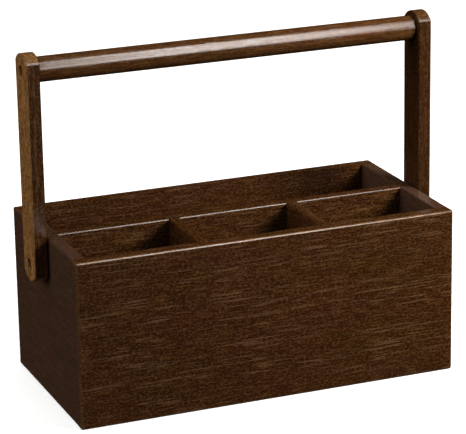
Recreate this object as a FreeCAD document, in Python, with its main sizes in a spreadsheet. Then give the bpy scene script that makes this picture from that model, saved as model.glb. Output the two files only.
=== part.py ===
"""Wooden desk organizer: an open box with one long slot, three bins and a swing handle.

Frame: millimetres, +Z up, +X to the right, +Y to the back. The origin is the centre of
the underside. Every piece is an object of its own and is written to a file of its own.
"""
import FreeCAD, Part
import math
import os

import Sketcher

Vector = FreeCAD.Vector
Rotation = FreeCAD.Rotation

# Driving dimensions in millimetres: alias, value, what it is.
SIZES = (
    ("box_width", 230, "box, left to right"),
    ("box_depth", 116, "box, front to back"),
    ("box_height", 98, "box, underside to rim"),
    ("wall", 8, "thickness of the four walls"),
    ("divider", 7, "thickness of the three dividers"),
    ("bottom", 8, "thickness of the bottom panel"),
    ("rebate", 4, "how far the bottom panel goes into each wall"),
    ("dado", 3, "how far a divider goes into a wall"),
    ("divider_dado", 2, "how far a cross divider goes into the long divider"),
    ("glue_gap", 0.05, "clearance on each side of a glued joint"),
    ("wall_round", 1.2, "radius of the outer edges of the walls"),
    ("divider_round", 1, "radius of the top edges of the dividers"),
    ("pin_diameter", 4, "wooden pins in the corners"),
    ("pin_in_long", 5, "depth of a pin in the front or back panel"),
    ("pin_in_end", 10, "depth of a pin in the edge of an end panel"),
    ("pin_inset", 20, "lowest and highest pin from the underside and the rim"),
    ("brad_diameter", 1.6, "shank of the brads that hold the bottom panel"),
    ("brad_head", 2.6, "head of a brad"),
    ("brad_head_height", 0.8, "thickness of that head"),
    ("brad_sink", 0.4, "brad's head below the surface of the wood"),
    ("brad_bite", 9, "how far a brad goes into the wall above the bottom panel"),
    ("brad_inset", 22, "outer brads from the inner corners"),
    ("pivot_drop", 16.5, "pivot axis below the rim"),
    ("handle_reach", 112.5, "pivot axis to grip axis"),
    ("arm_width", 20, "width of an arm, front to back"),
    ("arm_thickness", 8, "thickness of an arm"),
    ("arm_end_radius", 13, "radius of the arched ends of an arm"),
    ("arm_corner", 0.9, "radius where an arched end meets a straight side"),
    ("arm_round", 0.7, "radius of the arm's edges"),
    ("grip_diameter", 14.5, "grip rod"),
    ("grip_chamfer", 0.9, "chamfer on the ends of the grip rod"),
    ("side_play", 0.05, "play of an arm on each side of it"),
    ("washer_diameter", 14, "pivot washer"),
    ("washer_thickness", 0.8, "pivot washer"),
    ("screw_diameter", 3.5, "thread and shank of the handle's screws"),
    ("screw_pilot", 2.8, "pilot hole that the thread bites into"),
    ("pilot_spare", 1, "pilot hole beyond the point of its screw"),
    ("pivot_screw", 25, "pivot screw below its head"),
    ("grip_screw", 25, "grip screw below its head"),
    ("screw_point", 3, "length of a screw's cone point"),
    ("screw_head", 5.8, "head of the handle's screws"),
    ("screw_head_height", 2.4, "height of that head"),
    ("screw_head_edge", 0.4, "chamfer round the head"),
    ("hex_key", 2.5, "hexagon socket across its flats"),
    ("hex_depth", 1.6, "depth of that socket"),
    ("running_clearance", 0.1, "radial clearance of an arm on its screw"),
    ("recess_diameter", 6.4, "recess in an arm for a screw's head"),
    ("recess_depth", 3.6, "depth of that recess"),
)
PINS_PER_CORNER = 3

# Lengths that follow from the driving dimensions, as expressions of the sheet's cells.
INNER_WIDTH = "(Sizes.box_width - 2 * Sizes.wall)"
INNER_DEPTH = "(Sizes.box_depth - 2 * Sizes.wall)"
CELL_WIDTH = f"(({INNER_WIDTH} - 2 * Sizes.divider) / 3)"
CELL_DEPTH = f"(({INNER_DEPTH} - Sizes.divider) / 2)"
CROSS_X = f"(({CELL_WIDTH} + Sizes.divider) / 2)"
CROSS_LENGTH = f"({CELL_DEPTH} + Sizes.dado + Sizes.divider_dado)"
CROSS_Y = f"(Sizes.divider_dado - Sizes.divider / 2 - {CROSS_LENGTH} / 2)"
LONG_LENGTH = f"({INNER_WIDTH} + 2 * Sizes.dado)"
DIVIDER_HEIGHT = "(Sizes.box_height - Sizes.bottom)"
DADO_WIDTH = "(Sizes.divider + 2 * Sizes.glue_gap)"
PIN_X = "(Sizes.box_width / 2 - Sizes.wall / 2)"
PIN_HOLE = "(Sizes.pin_diameter + 2 * Sizes.glue_gap)"
PIN_LENGTH = "(Sizes.pin_in_long + Sizes.pin_in_end - 2 * Sizes.glue_gap)"
PIN_PITCH = f"((Sizes.box_height - 2 * Sizes.pin_inset) / {PINS_PER_CORNER - 1})"
PIN_HEIGHTS = [f"(Sizes.pin_inset + {PIN_PITCH} * {n})" for n in range(PINS_PER_CORNER)]
BRAD_X = f"({INNER_WIDTH} / 2 - Sizes.brad_inset)"
BRAD_Y = f"({INNER_DEPTH} / 2 - Sizes.brad_inset)"
BRAD_EDGE_X = f"({INNER_WIDTH} / 2 + Sizes.rebate / 2)"
BRAD_EDGE_Y = f"({INNER_DEPTH} / 2 + Sizes.rebate / 2)"
BRAD_LENGTH = "(Sizes.bottom + Sizes.brad_bite - Sizes.brad_sink)"
PIVOT_Z = "(Sizes.box_height - Sizes.pivot_drop)"
GRIP_Z = f"({PIVOT_Z} + Sizes.handle_reach)"
WASHER_X = "(Sizes.box_width / 2)"
ARM_X = f"({WASHER_X} + Sizes.washer_thickness + Sizes.side_play)"
ARM_WEB = "(Sizes.arm_thickness - Sizes.recess_depth)"
RUNNING_HOLE = "(Sizes.screw_diameter + 2 * Sizes.running_clearance)"
GRIP_HEAD_X = f"({ARM_X} + {ARM_WEB})"
PIVOT_HEAD_X = f"({GRIP_HEAD_X} + Sizes.side_play)"
DIVIDER_PILOT = f"({LONG_LENGTH} / 2 - {PIVOT_HEAD_X} + Sizes.pivot_screw + Sizes.pilot_spare)"
ROD_PILOT = f"(Sizes.grip_screw - {ARM_WEB} + Sizes.pilot_spare)"

doc = FreeCAD.newDocument("desk_organizer")
sheet = doc.addObject("Spreadsheet::Sheet", "Sizes")
pieces = []


def fill_sheet():
    """Write every driving dimension with its alias and its note."""
    for row, (alias, value, note) in enumerate(SIZES, start=1):
        sheet.set(f"A{row}", alias)
        sheet.set(f"B{row}", str(value))
        sheet.setAlias(f"B{row}", alias)
        sheet.set(f"C{row}", note)
    doc.recompute()


def near(value, target):
    """Whether two lengths agree to a thousandth of a millimetre."""
    return abs(value - target) < 0.001


# ------------------------------------------------------------------------- sketches

def new_body(name):
    """Start a piece of its own."""
    body = doc.addObject("PartDesign::Body", name)
    body.Label = name
    pieces.append(body)
    return body


def origin_feature(body, role):
    """A plane or an axis of the body's own origin."""
    return next(item for item in body.Origin.OriginFeatures if item.Role == role)


def new_sketch(body, plane, name, shift_x="0", shift_y="0", lift="0"):
    """A sketch on an origin plane, shifted in the plane and lifted along its normal."""
    sketch = body.newObject("Sketcher::SketchObject", name)
    sketch.AttachmentSupport = [(origin_feature(body, plane), "")]
    sketch.MapMode = "FlatFace"
    sketch.setExpression("AttachmentOffset.Base.x", shift_x)
    sketch.setExpression("AttachmentOffset.Base.y", shift_y)
    sketch.setExpression("AttachmentOffset.Base.z", lift)
    return sketch


def size_constraint(sketch, name, expression, kind, *where):
    """Add a constraint whose value follows an expression of the sheet's cells."""
    value = float(sketch.evalExpression(expression))
    index = sketch.addConstraint(Sketcher.Constraint(kind, *where, value))
    sketch.renameConstraint(index, name)
    sketch.setExpression("Constraints." + name, expression)


def draw_outline(sketch, corners):
    """A closed outline of straight lines through pairs of expressions."""
    points = [Vector(sketch.evalExpression(x), sketch.evalExpression(y), 0)
              for x, y in corners]
    for start, end in zip(points, points[1:] + points[:1]):
        sketch.addGeometry(Part.LineSegment(start, end))
    for number, (x, y) in enumerate(corners):
        following = (number + 1) % len(corners)
        sketch.addConstraint(Sketcher.Constraint("Coincident", number, 2, following, 1))
        size_constraint(sketch, f"x_{number}", x, "DistanceX", -1, 1, number, 1)
        size_constraint(sketch, f"y_{number}", y, "DistanceY", -1, 1, number, 1)


def draw_rectangle(sketch, width, height):
    """A rectangle centred on the sketch's own origin."""
    left, right = f"-({width}) / 2", f"({width}) / 2"
    low, high = f"-({height}) / 2", f"({height}) / 2"
    draw_outline(sketch, [(left, low), (right, low), (right, high), (left, high)])


def draw_circles(sketch, diameter, centres):
    """Equal circles about pairs of expressions."""
    for number, (x, y) in enumerate(centres):
        middle = Vector(sketch.evalExpression(x), sketch.evalExpression(y), 0)
        circle = sketch.addGeometry(Part.Circle(middle, Vector(0, 0, 1), 1))
        size_constraint(sketch, f"x_{number}", x, "DistanceX", -1, 1, circle, 3)
        size_constraint(sketch, f"y_{number}", y, "DistanceY", -1, 1, circle, 3)
        size_constraint(sketch, f"diameter_{number}", diameter, "Diameter", circle)


def draw_hexagon(sketch, across_flats):
    """A regular hexagon about the sketch's own origin."""
    corners = []
    for number in range(6):
        turn = math.radians(60 * number)
        across = f"({across_flats}) / sqrt(3)"
        corners.append((f"{across} * {math.cos(turn):.9f}", f"{across} * {math.sin(turn):.9f}"))
    draw_outline(sketch, corners)


def draw_bar(sketch, width, reach, end_radius):
    """A bar with arched ends, each half a width beyond the sketch's origin or its reach."""
    half = float(sketch.evalExpression(width)) / 2
    radius = float(sketch.evalExpression(end_radius))
    length = float(sketch.evalExpression(reach))
    inset = radius - half
    shoulder = math.sqrt(radius ** 2 - half ** 2) - inset
    swing = math.asin(half / radius)
    low_circle = Part.Circle(Vector(0, inset, 0), Vector(0, 0, 1), radius)
    high_circle = Part.Circle(Vector(0, length - inset, 0), Vector(0, 0, 1), radius)
    corners = [Vector(half, -shoulder, 0), Vector(half, length + shoulder, 0),
               Vector(-half, length + shoulder, 0), Vector(-half, -shoulder, 0)]
    lower = sketch.addGeometry(
        Part.ArcOfCircle(low_circle, 1.5 * math.pi - swing, 1.5 * math.pi + swing))
    right = sketch.addGeometry(Part.LineSegment(corners[0], corners[1]))
    upper = sketch.addGeometry(
        Part.ArcOfCircle(high_circle, 0.5 * math.pi - swing, 0.5 * math.pi + swing))
    left = sketch.addGeometry(Part.LineSegment(corners[2], corners[3]))
    for first, second in ((lower, right), (right, upper), (upper, left), (left, lower)):
        sketch.addConstraint(Sketcher.Constraint("Coincident", first, 2, second, 1))
    for line in (right, left):
        sketch.addConstraint(Sketcher.Constraint("Vertical", line))
    for arc in (lower, upper):
        sketch.addConstraint(Sketcher.Constraint("PointOnObject", arc, 3, -2))
    sketch.addConstraint(Sketcher.Constraint("Horizontal", lower, 1, lower, 2))
    sketch.addConstraint(Sketcher.Constraint("Equal", lower, upper))
    size_constraint(sketch, "end_radius", end_radius, "Radius", lower)
    size_constraint(sketch, "width", width, "DistanceX", lower, 1, lower, 2)
    size_constraint(sketch, "low_inset", f"{end_radius} - {width} / 2", "DistanceY",
                    -1, 1, lower, 3)
    size_constraint(sketch, "high_inset", f"{reach} - {end_radius} + {width} / 2", "DistanceY",
                    -1, 1, upper, 3)


# ------------------------------------------------------------------------- features

def extrude(body, sketch, name, length, symmetric=False):
    """Pad a sketch along its normal, or half of the length each way."""
    pad = body.newObject("PartDesign::Pad", name)
    pad.Profile = sketch
    if symmetric:
        pad.SideType = "Symmetric"
    pad.setExpression("Length", length)
    doc.recompute()
    return pad


def check_cut(body, before, name):
    """Stop if a feature that should take wood away has taken none."""
    if not body.Shape.Volume < before:
        raise RuntimeError(f"{name} cuts nothing from {body.Label}")


def cut(body, sketch, name, depth, along_normal=False):
    """Pocket a sketch against its normal, or along it."""
    before = body.Shape.Volume
    pocket = body.newObject("PartDesign::Pocket", name)
    pocket.Profile = sketch
    pocket.Reversed = along_normal
    pocket.setExpression("Length", depth)
    doc.recompute()
    check_cut(body, before, name)
    return pocket


def mirror(body, feature, plane, name):
    """Repeat a cut on the other side of one of the body's origin planes."""
    before = body.Shape.Volume
    mirrored = body.newObject("PartDesign::Mirrored", name)
    mirrored.Originals = [feature]
    mirrored.MirrorPlane = (origin_feature(body, plane), [""])
    body.Tip = mirrored
    doc.recompute()
    check_cut(body, before, name)


def edges_where(feature, wanted):
    """Names of the feature's edges whose bounding box passes a test."""
    edges = enumerate(feature.Shape.Edges, start=1)
    return [f"Edge{number}" for number, edge in edges if wanted(edge.BoundBox)]


def dress(body, feature, kind, name, size, wanted):
    """Fillet or chamfer some edges of a feature."""
    dressed = body.newObject("PartDesign::" + kind, name)
    dressed.Base = (feature, edges_where(feature, wanted))
    dressed.setExpression("Radius" if kind == "Fillet" else "Size", size)
    doc.recompute()
    return dressed


def place(piece, x="0", y="0", z="0", turn=Rotation()):
    """Turn a piece and put its own origin at three expressions."""
    piece.Placement = FreeCAD.Placement(Vector(0, 0, 0), turn)
    piece.setExpression("Placement.Base.x", x)
    piece.setExpression("Placement.Base.y", y)
    piece.setExpression("Placement.Base.z", z)


def both_sides():
    """Name, sign and turn of the left and of the right side."""
    return (("left", "-", Rotation(Vector(0, 0, 1), 180)), ("right", "", Rotation()))


# ------------------------------------------------------------------------- the box

def make_long_panel(name, with_dadoes, turn, sign):
    """Front or back panel: inner face on its own XZ plane, wood towards its own -Y."""
    body = new_body(name)
    outline = new_sketch(body, "XZ_Plane", name + "_outline", shift_y="Sizes.box_height / 2")
    draw_rectangle(outline, "Sizes.box_width", "Sizes.box_height")
    board = extrude(body, outline, name + "_board", "Sizes.wall")
    face = board.Shape.BoundBox.YMin

    def is_outer_edge(box):
        on_face = near(box.YMin, face) and near(box.YMax, face)
        across_end = near(box.ZMin, box.ZMax) and near(box.XMin, box.XMax)
        return on_face or across_end

    dress(body, board, "Fillet", name + "_rounding", "Sizes.wall_round", is_outer_edge)
    rebate = new_sketch(body, "XZ_Plane", name + "_rebate_outline", shift_y="Sizes.bottom / 2")
    draw_rectangle(rebate, f"{INNER_WIDTH} + 2 * Sizes.rebate", "Sizes.bottom")
    cut(body, rebate, name + "_rebate", "Sizes.rebate", along_normal=True)
    pins = new_sketch(body, "XZ_Plane", name + "_pin_circles")
    draw_circles(pins, PIN_HOLE, [(side + PIN_X, z) for side in ("-", "") for z in PIN_HEIGHTS])
    cut(body, pins, name + "_pin_holes", "Sizes.pin_in_long", along_normal=True)
    brads = new_sketch(body, "XY_Plane", name + "_brad_circles", lift="Sizes.bottom")
    edge = "-Sizes.rebate / 2"
    draw_circles(brads, "Sizes.brad_diameter", [(f"-{BRAD_X}", edge), ("0", edge), (BRAD_X, edge)])
    cut(body, brads, name + "_brad_holes", "Sizes.brad_bite", along_normal=True)
    if with_dadoes:
        slot = new_sketch(body, "XZ_Plane", name + "_dado_outline", CROSS_X,
                          f"Sizes.bottom + {DIVIDER_HEIGHT} / 2")
        draw_rectangle(slot, DADO_WIDTH, DIVIDER_HEIGHT)
        dado = cut(body, slot, name + "_right_dado", "Sizes.dado", along_normal=True)
        mirror(body, dado, "YZ_Plane", name + "_left_dado")
    place(body, y=f"{sign}{INNER_DEPTH} / 2", turn=turn)


def make_end_panel(side, sign, turn):
    """End panel between the long ones: inner face on its own YZ plane, wood towards +X."""
    name = side + "_end_panel"
    body = new_body(name)
    outline = new_sketch(body, "YZ_Plane", name + "_outline", shift_y="Sizes.box_height / 2")
    draw_rectangle(outline, INNER_DEPTH, "Sizes.box_height")
    board = extrude(body, outline, name + "_board", "Sizes.wall")
    face = board.Shape.BoundBox.XMax

    def is_outer_edge(box):
        return near(box.XMin, face) and near(box.ZMin, box.ZMax)

    dress(body, board, "Fillet", name + "_rounding", "Sizes.wall_round", is_outer_edge)
    rebate = new_sketch(body, "YZ_Plane", name + "_rebate_outline", shift_y="Sizes.bottom / 2")
    draw_rectangle(rebate, INNER_DEPTH, "Sizes.bottom")
    cut(body, rebate, name + "_rebate", "Sizes.rebate", along_normal=True)
    slot = new_sketch(body, "YZ_Plane", name + "_dado_outline",
                      shift_y=f"Sizes.bottom + {DIVIDER_HEIGHT} / 2")
    draw_rectangle(slot, DADO_WIDTH, DIVIDER_HEIGHT)
    cut(body, slot, name + "_dado", "Sizes.dado", along_normal=True)
    pilot = new_sketch(body, "YZ_Plane", name + "_pilot_circle")
    draw_circles(pilot, "Sizes.screw_pilot", [("0", PIVOT_Z)])
    cut(body, pilot, name + "_pilot", "Sizes.wall", along_normal=True)
    pins = new_sketch(body, "XZ_Plane", name + "_pin_circles", lift=f"{INNER_DEPTH} / 2")
    draw_circles(pins, PIN_HOLE, [("Sizes.wall / 2", z) for z in PIN_HEIGHTS])
    holes = cut(body, pins, name + "_front_pin_holes", "Sizes.pin_in_end")
    mirror(body, holes, "XZ_Plane", name + "_back_pin_holes")
    brads = new_sketch(body, "XY_Plane", name + "_brad_circles", lift="Sizes.bottom")
    edge = "Sizes.rebate / 2"
    draw_circles(brads, "Sizes.brad_diameter", [(edge, f"-{BRAD_Y}"), (edge, BRAD_Y)])
    cut(body, brads, name + "_brad_holes", "Sizes.brad_bite", along_normal=True)
    place(body, x=f"{sign}{INNER_WIDTH} / 2", turn=turn)


def brad_spots():
    """Where the brads stand: three along each long wall and two along each end wall."""
    spots = [(x, sign + BRAD_EDGE_Y) for sign in ("-", "") for x in (f"-{BRAD_X}", "0", BRAD_X)]
    spots += [(sign + BRAD_EDGE_X, y) for sign in ("-", "") for y in (f"-{BRAD_Y}", BRAD_Y)]
    return spots


def make_bottom_panel():
    """Bottom panel, let into the rebates, with a sunk hole for each brad."""
    name = "bottom_panel"
    body = new_body(name)
    reach = "2 * Sizes.rebate - 2 * Sizes.glue_gap"
    outline = new_sketch(body, "XY_Plane", name + "_outline")
    draw_rectangle(outline, f"{INNER_WIDTH} + {reach}", f"{INNER_DEPTH} + {reach}")
    extrude(body, outline, name + "_board", "Sizes.bottom")
    shanks = new_sketch(body, "XY_Plane", name + "_brad_circles")
    draw_circles(shanks, "Sizes.brad_diameter", brad_spots())
    cut(body, shanks, name + "_brad_holes", "Sizes.bottom", along_normal=True)
    heads = new_sketch(body, "XY_Plane", name + "_head_circles")
    draw_circles(heads, "Sizes.brad_head", brad_spots())
    depth = "Sizes.brad_sink + Sizes.brad_head_height"
    cut(body, heads, name + "_head_recesses", depth, along_normal=True)


def make_cylinder(name, diameter, height, x, y, z, turn=Rotation()):
    """A plain round bar from its own origin along its own Z axis."""
    bar = doc.addObject("Part::Cylinder", name)
    bar.setExpression("Radius", f"({diameter}) / 2")
    bar.setExpression("Height", height)
    place(bar, x, y, z, turn)
    return bar


def make_group(name, members):
    """One node that holds several equal, separate pieces."""
    group = doc.addObject("Part::Compound", name)
    group.Label = name
    group.Links = members
    pieces.append(group)


def make_brads():
    """Flat-headed brads, driven upwards through the bottom panel into the walls."""
    brads = []
    for number, (x, y) in enumerate(brad_spots()):
        shank = make_cylinder(f"brad_shank_{number}", "Sizes.brad_diameter", BRAD_LENGTH,
                              x, y, "Sizes.brad_sink")
        head = make_cylinder(f"brad_head_{number}", "Sizes.brad_head", "Sizes.brad_head_height",
                             x, y, "Sizes.brad_sink")
        brad = doc.addObject("Part::Fuse", f"brad_{number}")
        brad.Base = shank
        brad.Tool = head
        brads.append(brad)
    make_group("bottom_brads", brads)


def make_corner_pins(row, start, side, sign):
    """The wooden pins that join a long panel to an end panel at one corner."""
    along_y = Rotation(Vector(1, 0, 0), -90)
    name = f"{row}_{side}_corner_pins"
    pins = [make_cylinder(f"{name}_{number}", "Sizes.pin_diameter", PIN_LENGTH,
                          sign + PIN_X, start, z, along_y)
            for number, z in enumerate(PIN_HEIGHTS)]
    make_group(name, pins)


def make_long_divider():
    """Divider from end to end, standing on the bottom panel."""
    name = "long_divider"
    body = new_body(name)
    outline = new_sketch(body, "XZ_Plane", name + "_outline", shift_y=f"{DIVIDER_HEIGHT} / 2")
    draw_rectangle(outline, LONG_LENGTH, DIVIDER_HEIGHT)
    board = extrude(body, outline, name + "_board", "Sizes.divider", symmetric=True)
    round_top(body, board, name)
    slot = new_sketch(body, "XZ_Plane", name + "_dado_outline", CROSS_X,
                      f"{DIVIDER_HEIGHT} / 2", "Sizes.divider / 2")
    draw_rectangle(slot, DADO_WIDTH, DIVIDER_HEIGHT)
    dado = cut(body, slot, name + "_right_dado", "Sizes.divider_dado")
    mirror(body, dado, "YZ_Plane", name + "_left_dado")
    pilot = new_sketch(body, "YZ_Plane", name + "_pilot_circle", lift=f"{LONG_LENGTH} / 2")
    draw_circles(pilot, "Sizes.screw_pilot", [("0", f"{PIVOT_Z} - Sizes.bottom")])
    hole = cut(body, pilot, name + "_right_pilot", DIVIDER_PILOT)
    mirror(body, hole, "YZ_Plane", name + "_left_pilot")
    place(body, z="Sizes.bottom")


def make_cross_divider(side, sign):
    """Divider from the front panel to the long divider."""
    name = side + "_cross_divider"
    body = new_body(name)
    outline = new_sketch(body, "YZ_Plane", name + "_outline", shift_y=f"{DIVIDER_HEIGHT} / 2")
    draw_rectangle(outline, CROSS_LENGTH, DIVIDER_HEIGHT)
    board = extrude(body, outline, name + "_board", "Sizes.divider", symmetric=True)
    round_top(body, board, name)
    place(body, sign + CROSS_X, CROSS_Y, "Sizes.bottom")


def round_top(body, board, name):
    """Round the two long top edges of a divider."""
    top = board.Shape.BoundBox.ZMax
    length = max(board.Shape.BoundBox.XLength, board.Shape.BoundBox.YLength)

    def is_long_top_edge(box):
        return near(box.ZMin, top) and near(max(box.XLength, box.YLength), length)

    dress(body, board, "Fillet", name + "_rounding", "Sizes.divider_round", is_long_top_edge)


# ------------------------------------------------------------------------- the handle

def make_arm(side, sign, turn):
    """Arm: inner face on its own YZ plane, pivot at its own origin, wood towards +X."""
    name = side + "_arm"
    body = new_body(name)
    outline = new_sketch(body, "YZ_Plane", name + "_outline")
    draw_bar(outline, "Sizes.arm_width", "Sizes.handle_reach", "Sizes.arm_end_radius")
    bar = extrude(body, outline, name + "_bar", "Sizes.arm_thickness")

    def is_corner(box):
        return near(box.YMin, box.YMax) and near(box.ZMin, box.ZMax)

    def is_rim(box):
        return near(box.XMin, box.XMax)

    eased = dress(body, bar, "Fillet", name + "_easing", "Sizes.arm_corner", is_corner)
    dress(body, eased, "Fillet", name + "_rounding", "Sizes.arm_round", is_rim)
    ends = [("0", "0"), ("0", "Sizes.handle_reach")]
    shanks = new_sketch(body, "YZ_Plane", name + "_screw_circles", lift="Sizes.arm_thickness")
    draw_circles(shanks, RUNNING_HOLE, ends)
    cut(body, shanks, name + "_screw_holes", "Sizes.arm_thickness")
    heads = new_sketch(body, "YZ_Plane", name + "_recess_circles", lift="Sizes.arm_thickness")
    draw_circles(heads, "Sizes.recess_diameter", ends)
    cut(body, heads, name + "_recesses", "Sizes.recess_depth")
    place(body, x=sign + ARM_X, z=PIVOT_Z, turn=turn)


def make_grip_rod():
    """Round rod between the arms."""
    name = "grip_rod"
    body = new_body(name)
    circle = new_sketch(body, "YZ_Plane", name + "_circle")
    draw_circles(circle, "Sizes.grip_diameter", [("0", "0")])
    bar = extrude(body, circle, name + "_bar", f"2 * {ARM_X}", symmetric=True)

    def is_end(box):
        return near(box.XMin, box.XMax)

    dress(body, bar, "Chamfer", name + "_chamfer", "Sizes.grip_chamfer", is_end)
    pilot = new_sketch(body, "YZ_Plane", name + "_pilot_circle", lift=ARM_X)
    draw_circles(pilot, "Sizes.screw_pilot", [("0", "0")])
    hole = cut(body, pilot, name + "_right_pilot", ROD_PILOT)
    mirror(body, hole, "YZ_Plane", name + "_left_pilot")
    place(body, z=GRIP_Z)


def make_washer(side, sign, turn):
    """Washer between an arm and the box."""
    name = side + "_pivot_washer"
    body = new_body(name)
    rings = new_sketch(body, "YZ_Plane", name + "_disc")
    draw_circles(rings, "Sizes.washer_diameter", [("0", "0")])
    extrude(body, rings, name + "_blank", "Sizes.washer_thickness")
    hole = new_sketch(body, "YZ_Plane", name + "_hole_circle")
    draw_circles(hole, RUNNING_HOLE, [("0", "0")])
    cut(body, hole, name + "_hole", "Sizes.washer_thickness", along_normal=True)
    place(body, x=sign + WASHER_X, z=PIVOT_Z, turn=turn)


def make_screw(name, length, x, z, towards):
    """Cylinder-headed screw: seat of the head at its own origin, point towards its own -Z."""
    body = new_body(name)
    head, shank = "Sizes.screw_head / 2", "Sizes.screw_diameter / 2"
    profile = new_sketch(body, "XZ_Plane", name + "_profile")
    draw_outline(profile, [
        ("0", f"-{length}"),
        (shank, f"-{length} + Sizes.screw_point"),
        (shank, "0"),
        (head, "0"),
        (head, "Sizes.screw_head_height"),
        ("0", "Sizes.screw_head_height"),
    ])
    turned = body.newObject("PartDesign::Revolution", name + "_turned")
    turned.Profile = profile
    turned.ReferenceAxis = (profile, ["V_Axis"])
    turned.Angle = 360
    doc.recompute()
    top = turned.Shape.BoundBox.ZMax

    def is_head_edge(box):
        return near(box.ZMin, top) and near(box.ZMax, top)

    dress(body, turned, "Chamfer", name + "_chamfer", "Sizes.screw_head_edge", is_head_edge)
    socket = new_sketch(body, "XY_Plane", name + "_hexagon", lift="Sizes.screw_head_height")
    draw_hexagon(socket, "Sizes.hex_key")
    cut(body, socket, name + "_socket", "Sizes.hex_depth")
    place(body, x=x, z=z, turn=Rotation(Vector(0, 0, 1), towards))


# ------------------------------------------------------------------------- assembly

def make_box():
    """The walls, the bottom, the dividers and what joins them."""
    make_long_panel("front_panel", True, Rotation(), "-")
    make_long_panel("back_panel", False, Rotation(Vector(0, 0, 1), 180), "")
    for side, sign, turn in both_sides():
        make_end_panel(side, sign, turn)
        make_cross_divider(side, sign)
        front_start = f"-{INNER_DEPTH} / 2 - Sizes.pin_in_long + Sizes.glue_gap"
        make_corner_pins("front", front_start, side, sign)
        back_start = f"{INNER_DEPTH} / 2 - Sizes.pin_in_end + Sizes.glue_gap"
        make_corner_pins("back", back_start, side, sign)
    make_long_divider()
    make_bottom_panel()
    make_brads()


def make_handle():
    """The arms, the rod, the screws and the washers."""
    make_grip_rod()
    for side, sign, turn in both_sides():
        outwards = Vector(-1 if side == "left" else 1, 0, 0)
        make_arm(side, sign, turn)
        make_washer(side, sign, turn)
        make_screw(side + "_pivot_screw", "Sizes.pivot_screw", sign + PIVOT_HEAD_X, PIVOT_Z, outwards)
        make_screw(side + "_grip_screw", "Sizes.grip_screw", sign + GRIP_HEAD_X, GRIP_Z, outwards)


def write_pieces():
    """Check every object of the document and write each piece to its file."""
    doc.recompute()
    for item in doc.Objects:
        if "Invalid" in item.State or "Error" in item.State:
            raise RuntimeError(f"{item.Label} failed: {item.State}")
    for piece in pieces:
        if piece.Shape.isNull() or not piece.Shape.isValid():
            raise RuntimeError(f"{piece.Label} has no valid shape")
    os.makedirs("parts", exist_ok=True)
    for piece in pieces:
        piece.Shape.exportStep(f"parts/{piece.Label}.step")
        print(f"{piece.Label}: {len(piece.Shape.Solids)} solid, {piece.Shape.Volume:.0f} mm3")


fill_sheet()
make_box()
make_handle()
write_pieces()
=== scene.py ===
"""Wooden desk organizer with a swing handle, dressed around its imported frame."""
import math

import bmesh
import bpy
from bpy.props import FloatProperty, FloatVectorProperty, IntProperty, PointerProperty
from mathutils import Matrix, Quaternion, Vector


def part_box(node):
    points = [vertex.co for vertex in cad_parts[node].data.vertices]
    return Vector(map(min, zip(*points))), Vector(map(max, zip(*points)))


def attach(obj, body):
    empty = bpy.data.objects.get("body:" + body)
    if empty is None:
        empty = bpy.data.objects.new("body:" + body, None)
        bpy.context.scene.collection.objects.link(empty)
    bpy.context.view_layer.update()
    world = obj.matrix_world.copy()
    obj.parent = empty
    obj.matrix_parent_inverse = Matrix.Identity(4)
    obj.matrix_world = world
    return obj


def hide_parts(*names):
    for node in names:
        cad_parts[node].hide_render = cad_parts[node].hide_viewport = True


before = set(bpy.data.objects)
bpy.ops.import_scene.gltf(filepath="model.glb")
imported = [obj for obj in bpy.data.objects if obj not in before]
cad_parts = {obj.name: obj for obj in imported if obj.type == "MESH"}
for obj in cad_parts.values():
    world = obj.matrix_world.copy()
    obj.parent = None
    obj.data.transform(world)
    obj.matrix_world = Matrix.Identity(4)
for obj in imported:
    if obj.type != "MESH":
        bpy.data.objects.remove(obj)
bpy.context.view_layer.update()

bl_info = {
    "name": "Wooden Desk Organizer",
    "version": (1, 0, 0),
    "blender": (4, 5, 0),
    "location": "View3D > Sidebar > Organizer",
    "description": "Builds the boards, the dividers and the swing handle of a desk organizer",
    "category": "Object",
}

LEFT, RIGHT = -1, 1
FRONT, BACK = -1, 1
SIDES = (("left", LEFT), ("right", RIGHT))
AXES = "XYZ"

MERGE_WITHIN = 1e-7    # metres; vertices closer than this become one
SAME_PLACE = 1e-5      # metres; corners and edges closer than this count as one place
RIM_SLACK = 0.005      # metres; the open rim is sought this far past the end panels' faces
AXIS_ALIGNED = 0.99    # normals closer to an axis than this belong to a flat side

# Where each piece's grain starts, so that no two boards look alike.
GRAIN_START = {
    "front_panel": 0.0, "back_panel": 3.1, "end_panel": 5.3, "bottom_panel": 8.2,
    "long_divider": 11.7, "cross_divider": 14.4, "arm": 21.0, "arm_face": 23.0,
    "arm_edge": 25.0, "arm_end": 27.0, "grip_rod": 31.0,
}

# Materials of a board, and of an arm, in the order of their slots.
BOARD_EDGE, BOARD_END = 1, 2
ARM_FACE, ARM_END, ARM_EDGE = 1, 2, 3

# How squarely a part of an arm looks outward, or up or down, to take each of these.
FACE_FROM, END_FROM, EDGE_FROM = 0.9, 0.62, 0.15

SATIN = 0.24           # roughness of the lacquer on the boards
RUBBED = 0.22          # roughness where hands have polished it
SIDE_PAINTED_SHEEN = 0.12       # share of painted sheen, a greyish reflection veil, on the left and right sides of the box
SIDE_CONTRAST = 0.45   # fainter grain on the same sides
BOARD_WEAR_AND_HIGHLIGHT = 0.22      # how far the edges of the long panels are lightened, as rubbed wear and as a painted highlight
ROD_WEAR_AND_PAINTED_LIGHT = 0.08        # how far the grip rod is lightened, as rubbed wear and as painted light

# How far each arm's arched ends and edges are lightened, and how much its stain is deepened. The
# lighter edges are rubbed wear and painted highlight; the right arm's deeper stain is painted
# shade.
ARM_WEAR_AND_PAINTED_LIGHT = {
    LEFT: {"end": 0.62, "edge": 0.95, "depth": 0.1},
    RIGHT: {"end": 0.12, "edge": 0.3, "depth": 0.4},
}


# ------------------------------------------------------------------------ settings

LENGTH = {"unit": "LENGTH", "subtype": "DISTANCE", "precision": 5}
COLOUR = {"subtype": "COLOR", "size": 3, "min": 0, "max": 1}


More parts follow.
